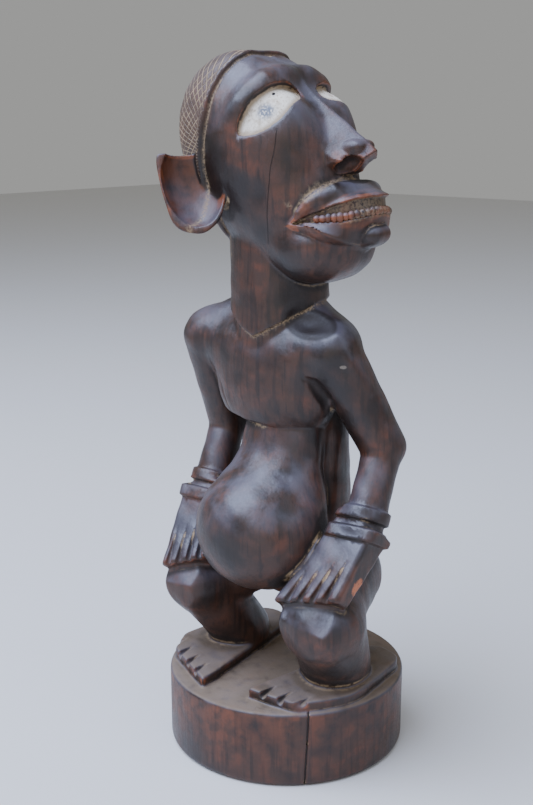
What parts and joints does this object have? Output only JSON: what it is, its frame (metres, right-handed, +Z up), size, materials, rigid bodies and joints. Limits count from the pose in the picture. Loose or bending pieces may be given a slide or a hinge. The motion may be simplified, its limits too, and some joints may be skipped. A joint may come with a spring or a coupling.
{
  "type": "ancestor figure",
  "caption": "Carved wooden ancestor figure crouching on a round plinth, hands on its knees, its large head turned to its left and raised.",
  "frame": {"origin": "centre of the plinth's underside", "axes": "+Z up, from the plinth to the crown; the body, knees and feet face -Y and the figure's left hand is at +X; the face looks towards +X, a quarter turn to the figure's left"},
  "size_m": [0.1369, 0.129, 0.3806],
  "materials": {
    "dark_wood": "waxed and worn, with a kaolin coat on the eyes"
  },
  "bodies": {
    "root": {"figure": "dark_wood"}
  },
  "joints": []
}
